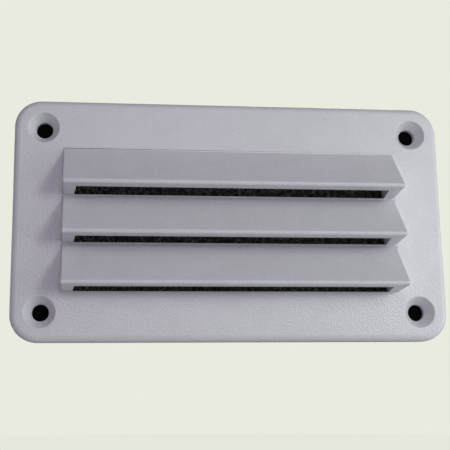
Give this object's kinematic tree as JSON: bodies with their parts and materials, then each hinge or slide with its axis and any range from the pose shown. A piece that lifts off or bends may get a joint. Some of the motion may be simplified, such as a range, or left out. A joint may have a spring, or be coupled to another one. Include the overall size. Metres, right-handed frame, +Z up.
{
  "type": "louvred vent cover",
  "caption": "Rectangular white plastic vent cover with fixed louvre hoods over slots, a rolled flange and countersunk screw holes; a dark filter and screen sit behind.",
  "frame": {"origin": "middle of the four screw holes, on the wall plane that the back of the flange lies on", "axes": "+X along the long side, +Y out of the back into the wall, +Z up with the slots facing down, so the louvres face -Y"},
  "size_m": [0.13, 0.0159, 0.0724],
  "materials": {
    "cover_plastic": "white ABS with a fine moulded grain, satin",
    "filter_felt": "dark mottled non-woven felt",
    "screen_mesh": "woven black insect mesh",
    "retainer_plastic": "black moulded plastic, satin",
    "gasket_foam": "dark grey closed-cell foam"
  },
  "bodies": {
    "root": {"face_plate": "cover_plastic", "top_louvre_hood": "cover_plastic", "middle_louvre_hood": "cover_plastic", "bottom_louvre_hood": "cover_plastic", "heat_stakes": "cover_plastic", "filter_pad": "filter_felt", "insect_screen": "screen_mesh", "retainer_frame": "retainer_plastic", "sealing_gasket": "gasket_foam"}
  },
  "joints": []
}
